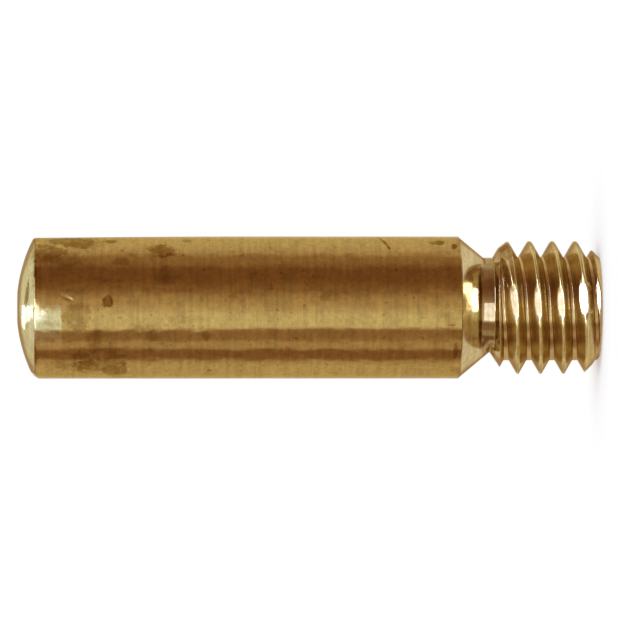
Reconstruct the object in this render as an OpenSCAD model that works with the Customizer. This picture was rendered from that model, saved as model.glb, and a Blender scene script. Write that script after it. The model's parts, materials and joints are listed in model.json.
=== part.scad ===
// Contact tip of a wire-feed welding gun, turned in one piece from copper alloy bar.
// A round body with a domed nose stands on a necked stud that carries a right-hand thread,
// and a fine bore for the wire runs through from the stud's end face to the nose.
// Millimetres. The axis is +Z, from the end face at Z = 0, on which the tip stands, up to the nose.

/* [Body] */
// Length over all, from the stud's end face to the crown of the nose
overall_len = 25.4; // [18:0.1:45]
// Diameter of the body
body_d = 6.2; // [6:0.05:9]
// Spherical radius of the domed nose
nose_r = 6.6; // [5.5:0.1:20]
// Width of the turned edge between the body and the nose
edge_break = 0.1; // [0.02:0.02:0.3]

/* [Stud] */
// Length of the threaded stud, from its end face to the neck
thread_len = 4.8; // [3.5:0.1:9]
// Diameter over the crests of the thread
thread_d = 5.8; // [5.2:0.05:5.9]
// Pitch of the thread
thread_pitch = 1; // [0.75:0.05:1.25]
// Direction in which the thread starts at the end face, in degrees from +X
thread_start = -16; // [-180:1:180]
// Chamfer on the stud's end, at 45 degrees
end_chamfer = 0.7; // [0.3:0.05:0.9]

/* [Neck] */
// Diameter of the relief neck between the thread and the shoulder
neck_d = 4.2; // [3.4:0.05:4.3]
// Length of the neck between its two slopes
neck_len = 0.35; // [0.3:0.05:2]
// Radius of the tool that turned the neck, left in both of its corners
neck_fillet = 0.35; // [0.05:0.05:0.35]
// Slope of the shoulder that seats the tip, in degrees from the axis
shoulder_angle = 46; // [30:1:60]

/* [Wire bore] */
// Diameter of the bore, for 0.9 mm wire
bore_d = 1.1; // [0.8:0.05:2]
// Diameter of the countersink that leads the wire in at the end face
lead_in_d = 2.6; // [2.2:0.1:3.2]
// Included angle of that countersink
lead_in_angle = 60; // [45:1:90]
// Width of the broken edge where the bore leaves the nose
mouth_break = 0.12; // [0.04:0.02:0.3]

/* [Hidden] */
$fn = 96;

body_r = body_d / 2;
thread_r = thread_d / 2;
neck_r = neck_d / 2;
bore_r = bore_d / 2;
lead_in_r = lead_in_d / 2;

// Heights of the neck's upper corner, the shoulder's edge and the nose's edge
neck_top = thread_len + neck_len;
shoulder_top = neck_top + (body_r - neck_r) / tan(shoulder_angle);
nose_centre = overall_len - nose_r;
nose_edge = nose_centre + sqrt(pow(nose_r, 2) - pow(body_r, 2));

// Metric thread: 60 degree flanks, cut deep, with a twelfth of the pitch flat on the crests and in the root
flank_angle = 30;
thread_flat = thread_pitch / 12;
thread_depth = (thread_pitch - 2 * thread_flat) / (2 * tan(flank_angle));
root_r = thread_r - thread_depth;
// The thread tool stands this far proud of the crests
tool_clearance = thread_pitch / 20;
steps_per_turn = 60;

// How far cuts overshoot the faces that they leave through
overshoot = 1;
fillet_steps = 6;

// Points on an arc about centre, as [radius, height] pairs
function arc(centre, r, from, to) =
    [for (i = [0:fillet_steps])
        let (a = from + (to - from) * i / fillet_steps)
        centre + r * [cos(a), sin(a)]];

// The neck's corners are rounded where it meets the 45 degree back of the thread and the shoulder
function neck_corners() =
    let (
        lower = [neck_r + neck_fillet, thread_len + neck_fillet * tan(45 / 2)],
        upper = [neck_r + neck_fillet, neck_top - neck_fillet * tan(shoulder_angle / 2)]
    )
    concat(
        arc(lower, neck_fillet, 180 + 45, 180),
        arc(upper, neck_fillet, 180, 180 - shoulder_angle)
    );

// Half section of the bar as turned, before threading and drilling
module turned_outline() {
    difference() {
        polygon(concat(
            [[0, 0], [thread_r - end_chamfer, 0], [thread_r, end_chamfer]],
            [[thread_r, thread_len - (thread_r - neck_r)]],
            neck_corners(),
            [[body_r, shoulder_top], [body_r, nose_edge - edge_break]],
            [[body_r - edge_break, nose_edge + edge_break]],
            [[body_r - edge_break, overall_len + overshoot], [0, overall_len + overshoot]]
        ));
        difference() {
            translate([0, nose_centre]) square([nose_r + overshoot, nose_r + 2 * overshoot]);
            translate([0, nose_centre]) circle(r = nose_r);
        }
    }
}

// Cutter for the thread: one trapezoid swept up the helix, from half a pitch below
// the end face until it has left the stud and stands clear in the neck
module thread_cutter() {
    outer_r = thread_r + tool_clearance;
    root_half = thread_flat / 2;
    outer_half = root_half + (outer_r - root_r) * tan(flank_angle);
    profile = [[root_r, -root_half], [root_r, root_half], [outer_r, outer_half], [outer_r, -outer_half]];
    sides = len(profile);
    start_z = -thread_pitch / 2;
    turns = (thread_len - start_z) / thread_pitch;
    steps = ceil(turns * steps_per_turn);
    points = [
        for (i = [0:steps])
            let (turn = turns * i / steps, a = thread_start + 360 * turn)
            for (p = profile) [p.x * cos(a), p.x * sin(a), start_z + turn * thread_pitch + p.y]
    ];
    walls = [
        for (i = [0:steps - 1], j = [0:sides - 1])
            let (low = i * sides, high = low + sides, next = (j + 1) % sides)
            each [[low + j, high + j, high + next], [low + j, high + next, low + next]]
    ];
    last = steps * sides;
    polyhedron(points, concat(walls, [[0, 1, 2, 3], [last + 3, last + 2, last + 1, last]]));
}

// The wire's way through: a countersunk lead-in, the bore and the broken edge at the nose
module wire_bore() {
    lead_in_depth = (lead_in_r - bore_r) / tan(lead_in_angle / 2);
    crown = nose_centre + sqrt(pow(nose_r, 2) - pow(bore_r, 2));
    translate([0, 0, -overshoot]) cylinder(r = bore_r, h = overall_len + 2 * overshoot);
    cylinder(r1 = lead_in_r, r2 = bore_r, h = lead_in_depth);
    translate([0, 0, crown - mouth_break])
        cylinder(r1 = bore_r, r2 = bore_r + 2 * mouth_break, h = 2 * mouth_break);
}

module contact_tip() {
    color("#b18d4f")
    difference() {
        rotate_extrude() turned_outline();
        thread_cutter();
        wire_bore();
    }
}

contact_tip();
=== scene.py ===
"""Looks of a welding contact tip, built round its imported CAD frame.

The tip stands on its threaded end along +Z, in metres. The camera is turned on its side,
so that the tip lies across the picture with its nose to the left.
"""

import json
import math

import bpy
import numpy as np
from mathutils import Matrix, Vector


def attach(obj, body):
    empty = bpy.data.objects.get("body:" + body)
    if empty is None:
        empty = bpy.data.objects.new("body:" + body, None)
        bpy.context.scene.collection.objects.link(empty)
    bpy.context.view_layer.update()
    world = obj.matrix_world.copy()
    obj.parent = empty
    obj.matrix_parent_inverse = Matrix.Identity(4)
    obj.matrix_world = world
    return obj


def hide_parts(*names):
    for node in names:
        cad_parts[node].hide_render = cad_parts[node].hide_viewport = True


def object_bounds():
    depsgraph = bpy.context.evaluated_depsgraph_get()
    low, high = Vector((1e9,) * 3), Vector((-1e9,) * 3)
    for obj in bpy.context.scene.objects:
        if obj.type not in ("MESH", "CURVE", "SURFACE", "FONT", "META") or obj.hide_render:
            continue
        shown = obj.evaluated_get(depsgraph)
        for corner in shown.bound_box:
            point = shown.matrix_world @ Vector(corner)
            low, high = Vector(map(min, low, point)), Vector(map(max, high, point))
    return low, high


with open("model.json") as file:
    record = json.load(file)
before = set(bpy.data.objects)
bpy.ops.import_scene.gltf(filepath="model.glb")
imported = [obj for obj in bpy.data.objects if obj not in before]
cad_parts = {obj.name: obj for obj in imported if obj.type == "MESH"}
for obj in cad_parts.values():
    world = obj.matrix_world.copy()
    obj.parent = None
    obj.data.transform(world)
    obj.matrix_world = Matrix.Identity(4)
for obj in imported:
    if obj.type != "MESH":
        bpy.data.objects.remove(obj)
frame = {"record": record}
cad_low, cad_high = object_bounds()
mounts = {mount["name"]: mount["dims"] for mount in frame["record"]["mounts"]}

# Sizes of the tip in millimetres, along its axis from the end face that it stands on
MM = 0.001
BODY_R = cad_high.x / MM
THREAD_R = mounts["thread"]["r_mm"]
THREAD_LEN = mounts["thread"]["length_mm"]
BORE_R = mounts["wire_bore"]["r_mm"]
OVERALL_LEN = 25.4
NOSE_R = 6.6
END_CHAMFER = 0.7
LEAD_IN_R = 1.3
LEAD_IN_SLOPE = math.radians(30)
MOUTH_BREAK = 0.12
NOSE_CENTRE = OVERALL_LEN - NOSE_R
NOSE_EDGE = NOSE_CENTRE + math.sqrt(NOSE_R**2 - BODY_R**2)

# Neck: radius and height of its ends, the slope of the thread's back below it and of the shoulder above it
NECK_LOW_R = 2.181
NECK_LOW = 4.65
NECK_R = 2.1
NECK_LEN = 0.42
NECK_TOP = THREAD_LEN + NECK_LEN
NECK_SLOPE = math.radians(60)
SHOULDER_SLOPE = math.radians(47)
SHOULDER_TOP = NECK_TOP + (BODY_R - NECK_R) / math.tan(SHOULDER_SLOPE)

# Radii of the rounded edges and corners
EDGE_ROUNDING = 0.04
CREST_ROUNDING = 0.06
NECK_FILLET = 0.06
NOSE_ROUNDING = 0.08
LEAD_IN_ROUNDING = 0.2

# Thread: a right-hand 60 degree groove that starts below the end face and runs out in the neck
PITCH = 1.0
THREAD_START = math.radians(-16)
FLANK_SLOPE = 1 / math.tan(math.radians(30))
ROOT_HALF = PITCH / 16
CREST_HALF = PITCH / 24
ROOT_R = THREAD_R - (PITCH / 2 - ROOT_HALF - CREST_HALF) * FLANK_SLOPE
ROOT_ROUNDING = 0.006
FIRST_GROOVE = -PITCH / 2
RUN_OUT = 4.29
RUN_OUT_RISE = 2.2
LAST_CREST = 4.1
LAST_CREST_ROUNDING = 0.03
# Beside the run-out the crest falls away in a cone: its radius at a height on the +X side,
# its slope from the axis, and how much further out it lies on the camera's side
FALL_R = 2.815
FALL_HEIGHT = 4.122
FALL_SLOPE = math.radians(36.7)
FALL_OFFSET = 0.15
# The narrow root leans upwards round one side, fully up to one angle from there and not at all past another
ROOT_LEAN = math.radians(9.5)
ROOT_LEAN_SIDE = math.radians(-4)
ROOT_LEAN_FULL = math.radians(8)
ROOT_LEAN_END = math.radians(26)
# The root is partly filled towards -X, and the filling fades with this power of the cosine
ROOT_FILL = 0.09
ROOT_FILL_POWER = 4

# The crests are worn flat on one side: where, from the camera's side towards +X, how deep,
# and how far the flat leans upwards. The first crest and the ridge at the end have flats of their own
FLAT_SIDE = math.radians(3.5)
FLAT_DEPTH = 0.18
FLAT_LEAN = math.radians(26.6)
FIRST_CREST_TOP = 1.3
FIRST_FLAT_SIDE = math.radians(8.5)
FIRST_FLAT_DEPTH = 0.25
FIRST_FLAT_LEAN = math.radians(22)
END_FLAT_SIDE = math.radians(9)
END_FLAT_R = 2.235
END_FLAT_HEIGHT = 0.13
END_FLAT_TOP = 0.26
END_FLAT_LEAN = math.radians(22)
# A flat is worked out no further round than this, and its rim is rounded
FLAT_REACH = math.radians(60)
FLAT_ROUNDING = 0.03
# Where the wear on the crests is full and where it ends, as shares of the half angle that a plane would cut
FLAT_FULL = 0.5
FLAT_END = 1.0
# Flats of the same kind round the nose's edge, as side and lean in degrees and depth in millimetres
NOSE_FLATS = [(-6, 4.7, 0.055), (-92, 18, 0.06), (-86, 42, 0.16), (88, 32, 0.08), (90, 0.6, 0.07)]

# Towards +X and -X the neck is cut as a plain notch: radius and height of its bottom, slopes from the axis
# above and below that, and the least radius that is left on the +X side
NOTCH_R = 1.94
NOTCH_HEIGHT = 4.78
NOTCH_UPPER = math.radians(39.8)
NOTCH_LOWER = math.radians(56)
NOTCH_LEAST_R = 2.178
# Where the notch starts, on the camera's side and behind, and where it is full,
# as the cosine of the angle from +X or -X
NOTCH_START = 0.6
NOTCH_START_BEHIND = 0.0
NOTCH_FULL = 0.97

# Mesh density: columns round the axis, the longest step along the outline in each stretch,
# the height of the fine stretch below the nose, and the steps along the dome and round an edge
COLUMNS = 208
THREAD_STEP = 0.022
FINE_STEP = 0.06
BODY_STEP = 0.8
BORE_STEP = 3.0
NOSE_ZONE = 0.9
DOME_STEPS = 30
EDGE_STEPS = 4

# Camera, as the photograph has it: pixels of its 620 pixel square frame, then millimetres
FRAME_PX = 620
END_FACE_PX = 599.5
AXIS_PX = 307.5
MM_PER_PX = 0.04357
CAMERA_DISTANCE = 285.0
CAMERA_HEIGHT = 24.2
SENSOR = 36.0
NEAREST_SEEN = 10.0


def rounded(corners):
    """Points of an outline from its corners (radius, height, rounding), each rounded by an arc."""
    points = []
    count = len(corners)
    for i, (r, z, rounding) in enumerate(corners):
        corner = np.array([r, z])
        if rounding == 0:
            points.append(corner)
            continue
        back = np.array(corners[i - 1][:2]) - corner
        on = np.array(corners[(i + 1) % count][:2]) - corner
        back /= np.linalg.norm(back)
        on /= np.linalg.norm(on)
        half_angle = math.acos(np.clip(back @ on, -1, 1)) / 2
        reach = rounding / math.tan(half_angle)
        middle = (back + on) / np.linalg.norm(back + on)
        centre = corner + middle * rounding / math.sin(half_angle)
        first = corner + back * reach - centre
        last = corner + on * reach - centre
        sweep = math.pi - 2 * half_angle
        for k in range(EDGE_STEPS + 1):
            share = k / EDGE_STEPS
            weights = math.sin((1 - share) * sweep), math.sin(share * sweep)
            points.append(centre + (first * weights[0] + last * weights[1]) / math.sin(sweep))
    return points


def outline():
    """Closed half section as (radius, height) points: out from the bore, up the outside, down the bore."""
    lead_in_top = (LEAD_IN_R - BORE_R) / math.tan(LEAD_IN_SLOPE)
    crown = NOSE_CENTRE + math.sqrt(NOSE_R**2 - BORE_R**2)
    # The broken edge of the bore is a 45 degree cone that meets the dome at this radius
    cone_offset = crown - MOUTH_BREAK - BORE_R - NOSE_CENTRE
    mouth_r = (math.sqrt(2 * NOSE_R**2 - cone_offset**2) - cone_offset) / 2
    edge_angle = math.asin(BODY_R / NOSE_R)
    mouth_angle = math.asin(mouth_r / NOSE_R)
    dome_angles = np.linspace(edge_angle, mouth_angle, DOME_STEPS)[1:-1]
    dome = [(NOSE_R * math.sin(a), NOSE_CENTRE + NOSE_R * math.cos(a), 0) for a in dome_angles]
    return rounded([
        (BORE_R, lead_in_top, LEAD_IN_ROUNDING),
        (LEAD_IN_R, 0, EDGE_ROUNDING),
        (THREAD_R - END_CHAMFER, 0, EDGE_ROUNDING),
        (THREAD_R, END_CHAMFER, CREST_ROUNDING),
        (THREAD_R, NECK_LOW - (THREAD_R - NECK_LOW_R) / math.tan(NECK_SLOPE), CREST_ROUNDING),
        (NECK_LOW_R, NECK_LOW, NECK_FILLET),
        (NECK_R, NECK_TOP, NECK_FILLET),
        (BODY_R, SHOULDER_TOP, EDGE_ROUNDING),
        (BODY_R, NOSE_EDGE - NOSE_ZONE, 0),
        (BODY_R, NOSE_EDGE, NOSE_ROUNDING),
        *dome,
        (mouth_r, NOSE_CENTRE + NOSE_R * math.cos(mouth_angle), EDGE_ROUNDING),
        (BORE_R, crown - MOUTH_BREAK, EDGE_ROUNDING),
    ])


def longest_step(r, z):
    """How far apart the rows of the mesh may lie at this place on the outline."""
    if r < LEAD_IN_R and z < NOSE_EDGE:
        return BORE_STEP
    if 0 < z < NECK_LOW:
        return THREAD_STEP
    if z < SHOULDER_TOP or z > NOSE_EDGE - NOSE_ZONE:
        return FINE_STEP
    return BODY_STEP


def rows_along(points):
    """The outline's points, with more put in where they lie too far apart."""
    rows = []
    for here, there in zip(points, points[1:] + points[:1]):
        length = np.linalg.norm(there - here)
        pieces = max(1, math.ceil(length / longest_step(*(here + there) / 2)))
        rows += [here + (there - here) * k / pieces for k in range(pieces)]
    return np.array(rows)


def smooth_share(value, start, full):
    """0 before start and 1 past full, with a smooth step between."""
    share = np.clip((value - start) / (full - start), 0, 1)
    return share * share * (3 - 2 * share)


def smooth_least(a, b, width):
    """The lesser of a and b, rounded off where they cross."""
    overlap = np.maximum(width - np.abs(a - b), 0) / width
    return np.minimum(a, b) - overlap**2 * width / 4


def off_side(angle, side):
    """How far an angle lies from a side, which is given from the camera's side towards +X."""
    return (angle + math.pi / 2 - side + math.pi) % (2 * math.pi) - math.pi


def flat_radius(r, side, lean, above, angle):
    """Radius of a flat that faces side and leans upwards, at distance r from the axis where above is 0."""
    off = off_side(angle, side)
    level = r / np.cos(np.clip(off, -FLAT_REACH, FLAT_REACH))
    return level - np.tan(lean) * above


def nearest_groove(z, angle):
    """Height of the middle of the thread groove that is nearest to these heights and angles."""
    turn = ((angle - THREAD_START) / (2 * math.pi)) % 1
    lowest = FIRST_GROOVE + PITCH * turn
    last = np.floor((THREAD_LEN - lowest) / PITCH)
    return lowest + PITCH * np.clip(np.round((z - lowest) / PITCH), 0, last)


def groove_radius(groove, z, angle):
    """Radius of the wall of a groove with this middle, which runs out of the metal at its upper end.

    Its narrow root leans between the first turn and the run-out, and is partly filled towards -X.
    """
    from_groove = z - groove
    beyond_root = np.abs(from_groove) - ROOT_HALF
    rise = (beyond_root + np.sqrt(beyond_root**2 + ROOT_ROUNDING**2)) / 2
    leaning = (groove > PITCH / 2) & (groove < RUN_OUT)
    near_side = smooth_share(np.abs(off_side(angle, ROOT_LEAN_SIDE)), ROOT_LEAN_END, ROOT_LEAN_FULL)
    lean = np.where(leaning, math.tan(ROOT_LEAN) * near_side, 0)
    root_r = ROOT_R + RUN_OUT_RISE * np.maximum(groove - RUN_OUT, 0)
    wall = root_r + rise * FLANK_SLOPE - lean * np.clip(from_groove, -ROOT_HALF, ROOT_HALF)
    filling = ROOT_FILL * np.maximum(-np.cos(angle), 0) ** ROOT_FILL_POWER
    return np.maximum(wall, ROOT_R + filling)


def notched(r, z, angle):
    """Radius of the neck and the shoulder, with the notch blended in towards +X and -X."""
    off = z - NOTCH_HEIGHT
    upper = NOTCH_R + math.tan(NOTCH_UPPER) * off
    lower = np.minimum(r, NOTCH_R - math.tan(NOTCH_LOWER) * off)
    plus_side = np.where(z > NECK_LOW, np.maximum(upper, NOTCH_LEAST_R), r)
    notch = np.where(np.cos(angle) > 0, plus_side, np.maximum(upper, lower))
    start = np.where(np.sin(angle) > 0, NOTCH_START_BEHIND, NOTCH_START)
    blended = r + (notch - r) * smooth_share(np.abs(np.cos(angle)), start, NOTCH_FULL)
    on_neck = (z > LAST_CREST) & (z < SHOULDER_TOP)
    return np.where(on_neck, np.minimum(blended, BODY_R), r)


def threaded(r, z, angle):
    """Radius with the thread's groove cut in, and with the crest that falls away beside the run-out."""
    groove = nearest_groove(z, angle)
    rounding = np.where(z < LAST_CREST, CREST_ROUNDING, LAST_CREST_ROUNDING)
    r = smooth_least(r, groove_radius(groove, z, angle), rounding)
    fall = FALL_R - math.tan(FALL_SLOPE) * (z - FALL_HEIGHT) + FALL_OFFSET * (1 - np.cos(angle))
    return np.where(z < NECK_LOW, smooth_least(r, fall, CREST_ROUNDING), r)


def worn_crests(r, z, angle):
    """Radius with the crests of the thread worn flat on the camera's side."""
    from_groove = z - nearest_groove(z, angle)
    above_crest = from_groove - np.sign(from_groove) * PITCH / 2
    on_first = z < FIRST_CREST_TOP
    flat_r = THREAD_R - np.where(on_first, FIRST_FLAT_DEPTH, FLAT_DEPTH)
    side = np.where(on_first, FIRST_FLAT_SIDE, FLAT_SIDE)
    lean = np.where(on_first, FIRST_FLAT_LEAN, FLAT_LEAN)
    flat = flat_radius(flat_r, side, lean, above_crest, angle)
    on_thread = (z > END_FLAT_HEIGHT) & (z < NECK_LOW)
    worn = np.where(on_thread, smooth_least(r, flat, FLAT_ROUNDING), r)
    reach = np.abs(off_side(angle, side)) / np.arccos(flat_r / THREAD_R)
    return r + (worn - r) * smooth_share(reach, FLAT_END, FLAT_FULL)


def worn_end(r, z, angle):
    """Radius with the ridge at the end face worn flat on the camera's side."""
    flat = flat_radius(END_FLAT_R, END_FLAT_SIDE, END_FLAT_LEAN, z - END_FLAT_HEIGHT, angle)
    return np.where(z < END_FLAT_TOP, smooth_least(r, flat, FLAT_ROUNDING), r)


def worn_nose(r, z, angle):
    """Radius with the flats round the edge of the nose."""
    for side, lean, depth in NOSE_FLATS:
        flat = flat_radius(BODY_R - depth, math.radians(side), math.radians(lean), z - NOSE_EDGE, angle)
        r = np.where(z > SHOULDER_TOP, smooth_least(r, flat, FLAT_ROUNDING), r)
    return r


def grid_mesh(name, points, v_of_row):
    """Closed mesh from a grid of points, rows by columns, that joins up with itself both ways."""
    rows, columns = points.shape[:2]
    index = np.arange(rows * columns).reshape(rows, columns)
    above = np.roll(index, -1, axis=0)
    corners = [index, np.roll(index, -1, axis=1), np.roll(above, -1, axis=1), above]
    faces = np.stack(corners, axis=-1).reshape(-1, 4)
    mesh = bpy.data.meshes.new(name)
    mesh.from_pydata(points.reshape(-1, 3).tolist(), [], faces.tolist())
    mesh.shade_smooth()
    # The map runs once round the axis and once along the outline
    u = np.arange(columns + 1) / columns
    v = np.append(v_of_row, 1.0)
    low_u, low_v = np.meshgrid(u[:-1], v[:-1])
    high_u, high_v = np.meshgrid(u[1:], v[1:])
    uv = np.stack([low_u, low_v, high_u, low_v, high_u, high_v, low_u, high_v], axis=-1)
    mesh.uv_layers.new(name="OFBake").data.foreach_set("uv", uv.ravel())
    return mesh


def share_along(rows):
    """How far along the closed outline each of its rows lies, from 0 to just under 1."""
    steps = np.linalg.norm(rows - np.roll(rows, 1, axis=0), axis=1)
    closing_step = steps[0]
    steps[0] = 0
    return np.cumsum(steps) / (steps.sum() + closing_step)


def tip_object():
    """The whole tip as one dense turned and threaded mesh."""
    rows = rows_along(outline())
    columns = np.arange(COLUMNS) * 2 * math.pi / COLUMNS
    z, angle = np.meshgrid(rows[:, 1], columns, indexing="ij")
    turned = np.repeat(rows[:, :1], COLUMNS, axis=1)
    r = np.where(turned > LEAD_IN_R, notched(turned, z, angle), turned)
    for cut in (threaded, worn_crests, worn_end, worn_nose):
        r = cut(r, z, angle)
    points = np.stack([r * np.cos(angle), r * np.sin(angle), z], axis=-1) * MM
    made = bpy.data.objects.new("turned_tip", grid_mesh("turned_tip", points, share_along(rows)))
    bpy.context.scene.collection.objects.link(made)
    return made


class Graph:
    """Adds nodes to a material's or world's tree and wires them."""

    def __init__(self, owner):
        owner.use_nodes = True
        self.tree = owner.node_tree
        self.tree.nodes.clear()

    def put(self, socket, value):
        """Sets a socket to a value, or wires it to another node's output."""
        if isinstance(value, bpy.types.NodeSocket):
            self.tree.links.new(value, socket)
        else:
            socket.default_value = value

    def add(self, kind, inputs=None, **settings):
        """A node of this kind; inputs maps its sockets to values or to other nodes' outputs."""
        made = self.tree.nodes.new(kind)
        for name, value in settings.items():
            setattr(made, name, value)
        for name, value in (inputs or {}).items():
            self.put(made.inputs[name], value)
        return made

    def math(self, operation, first, second=0.0):
        """The result of one operation on two numbers."""
        made = self.add("ShaderNodeMath", {0: first, 1: second}, operation=operation)
        return made.outputs[0]

    def vector(self, operation, *parts):
        """The result of one operation on vectors."""
        made = self.add("ShaderNodeVectorMath", dict(enumerate(parts)), operation=operation)
        return made.outputs["Value" if operation == "LENGTH" else "Vector"]

    def between(self, value, low, high):
        """0 below low, 1 above high, with a smooth step between; the other way round if low > high."""
        inputs = {"Value": value, "From Min": low, "From Max": high}
        made = self.add("ShaderNodeMapRange", inputs, interpolation_type="SMOOTHSTEP")
        return made.outputs["Result"]

    def mix(self, share, first, second):
        """Two colours mixed."""
        made = self.add("ShaderNodeMix", data_type="RGBA")
        sockets = {socket.identifier: socket for socket in made.inputs}
        self.put(sockets["Factor_Float"], share)
        self.put(sockets["A_Color"], first)
        self.put(sockets["B_Color"], second)
        return [socket for socket in made.outputs if socket.identifier == "Result_Color"][0]

    def noise(self, place, waves, detail, roughness):
        """Noise at a place in millimetres, with a number of waves a millimetre along x, y and z."""
        stretched = self.vector("MULTIPLY", place, waves)
        inputs = {"Vector": stretched, "Scale": 1.0, "Detail": detail, "Roughness": roughness}
        return self.add("ShaderNodeTexNoise", inputs).outputs["Fac"]

    def compass(self, sides):
        """Direction round the axis of a split vector, in radians from the camera's side towards +X."""
        towards_camera = self.math("MULTIPLY", sides.outputs["Y"], -1.0)
        return self.math("ARCTAN2", sides.outputs["X"], towards_camera)


# Metal colours as they reflect white light, their tint at a glancing angle, and the tint of stain and
# painted shade
TARNISHED = (0.50, 0.345, 0.11, 1)
BARE_METAL = (0.61, 0.55, 0.28, 1)
NOSE_METAL = (0.67, 0.66, 0.40, 1)
NECK_METAL = (0.43, 0.315, 0.145, 1)
CONE_METAL = (0.68, 0.58, 0.33, 1)
THREAD_METAL = (0.58, 0.44, 0.21, 1)
CREST_METAL = (0.68, 0.57, 0.26, 1)
EDGE_TINT = (0.85, 0.76, 0.54, 1)
STAIN_AND_SHADE_TINT = (0.45, 0.30, 0.15, 1)
WHITE = (1, 1, 1, 1)

# Where each finish starts and where it is full, as heights along the axis or distances from it
STUD_HEIGHTS = (SHOULDER_TOP + 0.02, SHOULDER_TOP - 0.04)
CONE_HEIGHTS = (NECK_LOW - 0.3, NECK_LOW - 0.2)
NECK_HEIGHTS = (NECK_LOW - 0.1, NECK_LOW)
NECK_DISTANCES = (NECK_R + 0.2, NECK_R + 0.08)
THREAD_HEIGHTS = (LAST_CREST + 0.1, LAST_CREST)
CREST_DISTANCES = (THREAD_R - 0.16, THREAD_R - 0.06)
NOSE_HEIGHTS = (NOSE_EDGE - 0.03, NOSE_EDGE + 0.03)
# A band by the nose is wiped bare on one side, between two places in millimetres round the body
BAND_HEIGHTS = (23.42, 23.5)
WIPED_FROM = (-1.9, -0.8)
WIPED_TO = (0.1, -0.2)

# Noises: waves a millimetre along x, y and z, detail, roughness of that detail
BLOTCHES = ((0.9, 0.9, 0.6), 6.0, 0.65)
SPECKS = ((3.5, 3.5, 3.5), 1.0, 0.55)
FRAY = ((2.2, 2.2, 2.2), 6.0, 0.7)
PATCHES = ((3, 3, 3), 5.0, 0.7)
STREAKS = ((0.5, 0.5, 5), 3.0, 0.55)
MOTTLE = ((5, 5, 5), 4.0, 0.7)
GRAIN = ((6, 6, 6), 5.0, 0.55)
WAVINESS = ((0.55, 0.55, 0.4), 2.5, 0.55)
NOISE_MEAN = 0.5

# Blotches and specks show where their noise is in these ranges, with more blotches towards the nose
BLOTCH_RANGE = (0.55, 0.72)
BLOTCH_STRENGTH = 0.5
MORE_BLOTCHES = 0.06
MORE_BLOTCHES_HEIGHTS = (18.0, 24.0)
SPECK_RANGE = (0.7, 0.76)
SPECK_STRENGTH = 0.5
# Stain and painted shade fade over a rim, as shares of their size, which is frayed; inside they are patchy
MARK_RIM = (1.15, 0.75)
MARK_FRAY = 2.4
PATCH_RANGE = (0.36, 0.52)
PATCH_LEAST = 0.55
# Brightness of the metal: a least share, and what the streaks from turning and the mottle add
SHADE_LEAST = 0.25
STREAK_SHADE = 0.7
MOTTLE_SHADE = 0.8

# Roughness of the metal: the least, what the grain and the thread add and what the neck lacks
LEAST_ROUGHNESS = 0.09
GRAIN_ROUGHNESS = 0.08
THREAD_ROUGHNESS = 0.09
NECK_GLOSS = 0.05
# Depth of the body's waviness in millimetres
WAVE_DEPTH = 0.065

# Stain and painted shade on the surface, each an oval: height and degrees from the camera's side towards
# +X, half length along the axis and half width round it in millimetres, turn in degrees, strength
STAINS_AND_PAINTED_SHADE = [
    (21.46, 4.4, 0.22, 0.26, 0, 1.25),
    (22.9, 67, 1.1, 0.6, 0, 0.9),
    (21.28, 67, 0.24, 0.2, 0, 0.9),
    (20.87, 40, 0.4, 0.22, 0, 0.5),
    (23.3, 50, 0.12, 0.35, 20, 0.7),
    (23.95, 50, 0.8, 0.6, 0, 0.75),
    (23.1, 42, 0.8, 0.4, 0, 0.45),
    (24.25, 48, 0.45, 0.6, 0, 0.65),
    (23.6, 36, 0.9, 0.6, 0, 0.15),
    (19.1, 52, 0.6, 0.5, 0, 0.9),
    (22.75, -6, 0.6, 0.6, 0, 0.5),
    (22.6, -43, 0.4, 0.25, 0, 0.5),
    (22.35, -54, 0.6, 0.42, -20, 0.9),
    (21.1, -62, 0.6, 0.62, 0, 0.8),
    (21.8, -54, 1.15, 0.5, 0, 0.55),
    (22.1, -37, 0.18, 0.18, 0, 0.5),
    (17.05, -62, 0.13, 0.14, 0, 0.8),
    (17.2, -23, 0.25, 0.25, 0, 0.5),
    (18.0, 69, 0.2, 0.2, 0, 0.6),
    (7.1, 66, 0.4, 0.24, 0, 0.95),
    (6.42, 58, 0.12, 0.3, 0, 1.0),
    (6.4, -38, 0.1, 0.45, 0, 0.7),
    # A nick at the nose's edge, drawn out along the edge as painted shade that darkens the edge's
    # reflection of the high softbox, and a darker line along the edge towards -X
    (24.58, 24, 0.08, 0.9, 0, 0.9),
    (24.58, -42, 0.06, 0.9, 0, 0.7),
    # Painted shade along the dent in the dome, which deepens the shading of the dent's bump
    (24.95, 14, 0.07, 0.8, 6, 1.4),
    (9.46, 67.5, 0.07, 0.86, -19, 1.1),
    (4.2, 58, 0.36, 1.1, 0, 0.7),
    (0.25, 3, 0.12, 1.6, 0, 0.4),
]
# Dents in the same form, with their depth in millimetres as the last number
DENTS = [
    (23.2, 7.5, 0.4, 0.14, 25, 0.011),
    (24.9, 12, 0.06, 0.8, 8, 0.03),
    (6.6, -14.6, 0.22, 0.06, 0, 0.012),
]


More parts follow.
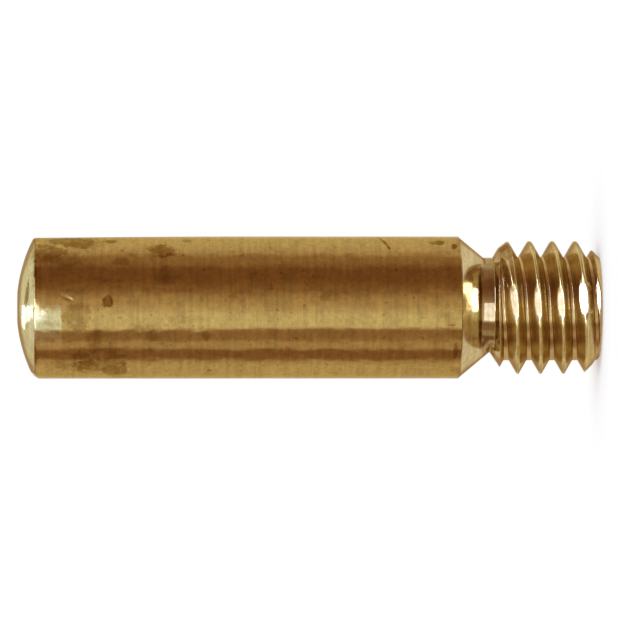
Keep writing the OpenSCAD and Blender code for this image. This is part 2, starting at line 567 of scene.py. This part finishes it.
class Surface(Graph):
    """Nodes of the tip's metal, with the places in millimetres that its finish follows."""

    def __init__(self, material):
        super().__init__(material)
        coordinates = self.add("ShaderNodeTexCoord")
        self.place = self.vector("MULTIPLY", coordinates.outputs["Object"], (1 / MM,) * 3)
        sides = self.add("ShaderNodeSeparateXYZ", {0: self.place})
        self.height = sides.outputs["Z"]
        self.distance = self.vector("LENGTH", self.vector("MULTIPLY", self.place, (1, 1, 0)))
        self.around = self.math("MULTIPLY", self.compass(sides), BODY_R)
        self.unrolled = self.add("ShaderNodeCombineXYZ", {0: self.height, 1: self.around}).outputs[0]
        self.on_stud = self.between(self.height, *STUD_HEIGHTS)
        self.off_stud = self.math("SUBTRACT", 1.0, self.on_stud)
        near_neck = self.between(self.height, *NECK_HEIGHTS)
        self.in_neck = self.math("MULTIPLY", near_neck, self.between(self.distance, *NECK_DISTANCES))
        self.fray = self.math("SUBTRACT", self.noise(self.place, *FRAY), NOISE_MEAN)

    def oval(self, height, degrees, half_length, half_width, turn):
        """Distance from the middle of a mark, as 1 on the rim of its oval."""
        centred = self.add("ShaderNodeMapping", {
            "Vector": self.unrolled,
            "Location": (height, math.radians(degrees) * BODY_R, 0),
            "Rotation": (0, 0, math.radians(turn)),
            "Scale": (half_length, half_width, 1),
        }, vector_type="TEXTURE")
        return self.vector("LENGTH", centred.outputs[0])

    def stains_and_painted_shade(self):
        """How much each place is darkened: by stain blotches and specks off the stud, and by the ovals of
        stain and painted shade.
        """
        more = self.math("MULTIPLY", self.between(self.height, *MORE_BLOTCHES_HEIGHTS), MORE_BLOTCHES)
        blotches = self.between(self.math("ADD", self.noise(self.place, *BLOTCHES), more), *BLOTCH_RANGE)
        blotched = self.math("MULTIPLY", blotches, BLOTCH_STRENGTH)
        specks = self.between(self.noise(self.place, *SPECKS), *SPECK_RANGE)
        specked = self.math("MULTIPLY", specks, SPECK_STRENGTH)
        stained_and_shaded = self.math("MULTIPLY", self.math("MAXIMUM", blotched, specked), self.off_stud)
        ragged = self.math("MULTIPLY", self.fray, MARK_FRAY)
        patches = self.between(self.noise(self.place, *PATCHES), *PATCH_RANGE)
        patchy = self.math("ADD", self.math("MULTIPLY", patches, 1 - PATCH_LEAST), PATCH_LEAST)
        for *mark, strength in STAINS_AND_PAINTED_SHADE:
            from_rim = self.math("ADD", self.oval(*mark), ragged)
            spot = self.math("MULTIPLY", self.between(from_rim, *MARK_RIM), strength)
            stained_and_shaded = self.math("MAXIMUM", stained_and_shaded, self.math("MULTIPLY", spot, patchy))
        return stained_and_shaded

    def clean_colour(self):
        """Colour without stain and painted shade: tarnish with the bare band, and the parts that were
        machined last.
        """
        frayed_around = self.math("ADD", self.around, self.fray)
        wiped = self.math(
            "MULTIPLY", self.between(frayed_around, *WIPED_TO), self.between(self.around, *WIPED_FROM)
        )
        bare = self.math("MULTIPLY", self.between(self.height, *BAND_HEIGHTS), wiped)
        body = self.mix(bare, TARNISHED, BARE_METAL)
        thread = self.mix(self.between(self.distance, *CREST_DISTANCES), THREAD_METAL, CREST_METAL)
        on_cone = self.between(self.height, *CONE_HEIGHTS)
        stud = self.mix(self.in_neck, self.mix(on_cone, thread, CONE_METAL), NECK_METAL)
        on_nose = self.between(self.height, *NOSE_HEIGHTS)
        return self.mix(on_nose, self.mix(self.on_stud, body, stud), NOSE_METAL)

    def colour(self):
        """Colour with stain and painted shade, and with streaks from turning and a mottle."""
        streaks = self.math("MULTIPLY", self.noise(self.place, *STREAKS), STREAK_SHADE)
        mottle = self.math("MULTIPLY", self.noise(self.place, *MOTTLE), MOTTLE_SHADE)
        shade = self.math("ADD", self.math("ADD", streaks, mottle), SHADE_LEAST)
        soiled_and_shaded = self.mix(self.stains_and_painted_shade(), WHITE, STAIN_AND_SHADE_TINT)
        return self.vector("MULTIPLY", self.clean_colour(), self.vector("MULTIPLY", soiled_and_shaded, shade))

    def roughness(self):
        """Roughness: grainy all over, with less gloss on the thread and more in the neck."""
        grain = self.math("MULTIPLY", self.noise(self.place, *GRAIN), GRAIN_ROUGHNESS)
        on_body = self.math("ADD", grain, LEAST_ROUGHNESS)
        on_thread = self.math("MULTIPLY", self.between(self.height, *THREAD_HEIGHTS), THREAD_ROUGHNESS)
        neck_gloss = self.math("MULTIPLY", self.in_neck, NECK_GLOSS)
        return self.math("SUBTRACT", self.math("ADD", on_body, on_thread), neck_gloss)

    def relief(self):
        """Relief in millimetres: a slow waviness of the body, and the dents."""
        waves = self.math("MULTIPLY", self.noise(self.place, *WAVINESS), self.off_stud)
        raised = self.math("MULTIPLY", waves, WAVE_DEPTH)
        for *mark, depth in DENTS:
            round_dent = self.math("MULTIPLY", self.between(self.oval(*mark), 0.0, 1.0), depth)
            raised = self.math("ADD", raised, round_dent)
        return raised


def copper_alloy():
    """Turned copper alloy: tarnished, with stain on the body and painted shade by the nose's edge, brighter
    where it was machined last.
    """
    material = bpy.data.materials.new("copper_alloy")
    surface = Surface(material)
    bump = surface.add("ShaderNodeBump", {"Height": surface.relief(), "Distance": MM, "Strength": 1.0})
    metal = surface.add("ShaderNodeBsdfPrincipled", {
        "Base Color": surface.colour(),
        "Metallic": 1.0,
        "Specular Tint": EDGE_TINT,
        "Roughness": surface.roughness(),
        "Normal": bump.outputs["Normal"],
    })
    surface.add("ShaderNodeOutputMaterial", {"Surface": metal.outputs[0]})
    return material


def sine(degrees):
    """Sine of an angle in degrees."""
    return math.sin(math.radians(degrees))


# Panels round the tip: direction in degrees from the camera's side towards +X, and brightness
PANELS = [
    (-180, 0.85), (-108, 0.78), (-98, 0.66), (-91, 0.36), (-73, 0.34), (-69, 0.66), (-58, 0.64),
    (-53, 0.45), (-37, 0.42), (-33, 1.0), (-12, 0.95), (2, 0.72), (14, 0.62), (28, 0.38),
    (45, 0.27), (66, 0.27), (76, 0.42), (90, 0.46), (102, 0.72), (120, 0.85), (180, 0.9),
]
# Powers of the brightness in red, green and blue, which make the dim panels warm
WARMTH = (1.0, 1.55, 2.0)
# Above the panels the surroundings are at least this bright,
# with the sines of the elevations where that starts and is full
UPPER_BRIGHTNESS = 0.65
UPPER_RISE = (sine(16), sine(21))
# Behind the tip they are dimmer by this share in a zone above eye level and one below it:
# sines of the elevations where a zone starts and ends, and the share of +Y in directions that are behind
BACK_DIMMING = 0.4
DIMMED_FROM = (sine(4), sine(9))
DIMMED_TO = (sine(28), sine(18))
BEHIND = (0.3, 0.6)
# Dull things get this light from the surroundings, in place of the panels
GREY_LIGHT = (0.75, 0.75, 0.75, 1)


def panel_brightness(graph, direction):
    """Brightness of the ring of panels in a direction."""
    turn_share = graph.math("DIVIDE", graph.compass(direction), 2 * math.pi)
    ramp = graph.add("ShaderNodeValToRGB", {"Fac": graph.math("ADD", turn_share, 0.5)})
    stops = ramp.color_ramp.elements
    while len(stops) < len(PANELS):
        stops.new(1.0)
    for stop, (degrees, brightness) in zip(stops, PANELS):
        stop.position = degrees / 360 + 0.5
        stop.color = (brightness, brightness, brightness, 1)
    return ramp.outputs["Color"]


def share_left(graph, direction):
    """Share of the brightness that is left in a direction by the dimming behind the tip."""
    off_level = graph.math("ABSOLUTE", direction.outputs["Z"])
    slanting = graph.math(
        "MULTIPLY", graph.between(off_level, *DIMMED_FROM), graph.between(off_level, *DIMMED_TO)
    )
    dimmed = graph.math("MULTIPLY", slanting, graph.between(direction.outputs["Y"], *BEHIND))
    return graph.math("SUBTRACT", 1.0, graph.math("MULTIPLY", dimmed, BACK_DIMMING))


def surroundings():
    """White to the camera; to the metal, a ring of pale panels with warm brown gaps between them."""
    world = bpy.data.worlds.new("surroundings")
    bpy.context.scene.world = world
    graph = Graph(world)
    outwards = graph.add("ShaderNodeTexCoord").outputs["Generated"]
    direction = graph.add("ShaderNodeSeparateXYZ", {0: outwards})
    upper = graph.math("MULTIPLY", graph.between(direction.outputs["Z"], *UPPER_RISE), UPPER_BRIGHTNESS)
    undimmed = graph.math("MAXIMUM", panel_brightness(graph, direction), upper)
    brightness = graph.math("MULTIPLY", undimmed, share_left(graph, direction))
    tinted = graph.add("ShaderNodeCombineColor", {
        i: graph.math("POWER", brightness, power) for i, power in enumerate(WARMTH)
    })
    path = graph.add("ShaderNodeLightPath")
    on_things = graph.mix(path.outputs["Is Glossy Ray"], GREY_LIGHT, tinted.outputs[0])
    seen = graph.mix(path.outputs["Is Camera Ray"], on_things, WHITE)
    background = graph.add("ShaderNodeBackground", {"Color": seen, "Strength": 1.0})
    graph.add("ShaderNodeOutputWorld", {"Surface": background.outputs[0]})


# Softboxes: name, middle, width and height, and the point that they face, in millimetres,
# and their brightness as it looks in a mirror
LAMP_COLOUR = (0.50, 0.60, 1.0)
SOFTBOXES = [
    ("low_softbox", (-45, -240, 70), (190, 28), (0, 0, 8), 3.35),
    ("high_softbox", (73, -180, 161), (230, 52), (0, 0, 5), 15.0),
    ("back_softbox", (-7, 178, 198), (20, 130), (0, 0, 25), 2.75),
]


def softbox(name, middle, size, target, brightness):
    """A flat lamp that faces target."""
    lamp = bpy.data.lights.new(name, "AREA")
    lamp.shape = "RECTANGLE"
    lamp.size = size[0] * MM
    lamp.size_y = size[1] * MM
    lamp.energy = brightness * math.pi * lamp.size * lamp.size_y
    lamp.color = LAMP_COLOUR
    holder = bpy.data.objects.new(name, lamp)
    bpy.context.scene.collection.objects.link(holder)
    holder.location = Vector(middle) * MM
    towards = (Vector(target) - Vector(middle)).normalized()
    holder.rotation_mode = "QUATERNION"
    holder.rotation_quaternion = towards.to_track_quat("-Z", "Y")
    holder.visible_camera = False


# Floor: its radius and how far it lies below the end face, in millimetres,
# and where it starts to fade and has faded, as shares of its radius
FLOOR_R = 22.0
FLOOR_DROP = 0.01
FLOOR_FADE = (-0.05, 0.34)
FLOOR_SIDES = 96
FLOOR_COLOUR = (1.0, 0.93, 0.79, 1)


def white_floor():
    """A dull, warm white round the middle, which fades into plain white."""
    material = bpy.data.materials.new("white_floor")
    graph = Graph(material)
    radius = graph.vector("LENGTH", graph.add("ShaderNodeTexCoord").outputs["Object"])
    fade = graph.between(radius, *(share * FLOOR_R * MM for share in FLOOR_FADE))
    lit = graph.add("ShaderNodeBsdfDiffuse", {"Color": FLOOR_COLOUR})
    plain = graph.add("ShaderNodeEmission", {"Color": WHITE, "Strength": 1.0})
    both = graph.add("ShaderNodeMixShader", {0: fade, 1: lit.outputs[0], 2: plain.outputs[0]})
    graph.add("ShaderNodeOutputMaterial", {"Surface": both.outputs[0]})
    return material


def floor():
    """A disc under the tip, which takes its shadow and isn't mirrored in it."""
    turns = np.linspace(0, 2 * math.pi, FLOOR_SIDES, endpoint=False)
    ring = [Vector((math.cos(turn), math.sin(turn), 0)) * FLOOR_R * MM for turn in turns]
    mesh = bpy.data.meshes.new("floor")
    mesh.from_pydata(ring, [], [range(FLOOR_SIDES)])
    mesh.materials.append(white_floor())
    disc = bpy.data.objects.new("floor", mesh)
    bpy.context.scene.collection.objects.link(disc)
    disc.location.z = -FLOOR_DROP * MM
    disc.visible_glossy = False


def camera():
    """The photograph's view: level with the nose, and turned so that +X is up in the picture."""
    aim_height = (END_FACE_PX - FRAME_PX / 2) * MM_PER_PX
    sideways = (AXIS_PX - FRAME_PX / 2) * MM_PER_PX
    place = Vector((sideways, -CAMERA_DISTANCE, CAMERA_HEIGHT)) * MM
    aim = Vector((sideways, 0, aim_height)) * MM
    forward = (aim - place).normalized()
    up = Vector((1, 0, 0))
    right = forward.cross(up)
    optics = bpy.data.cameras.new("camera")
    optics.sensor_width = SENSOR
    optics.lens = SENSOR * CAMERA_DISTANCE / (FRAME_PX * MM_PER_PX)
    optics.clip_start = NEAREST_SEEN * MM
    holder = bpy.data.objects.new("camera", optics)
    bpy.context.scene.collection.objects.link(holder)
    turn = Matrix((right, up, -forward)).transposed().to_4x4()
    holder.matrix_world = Matrix.Translation(place) @ turn
    bpy.context.scene.camera = holder


bpy.context.scene.view_settings.view_transform = "Standard"
camera()
surroundings()
floor()
for lamp_values in SOFTBOXES:
    softbox(*lamp_values)

tip = tip_object()
tip.data.materials.append(copper_alloy())
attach(tip, "root")
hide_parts("contact_tip")
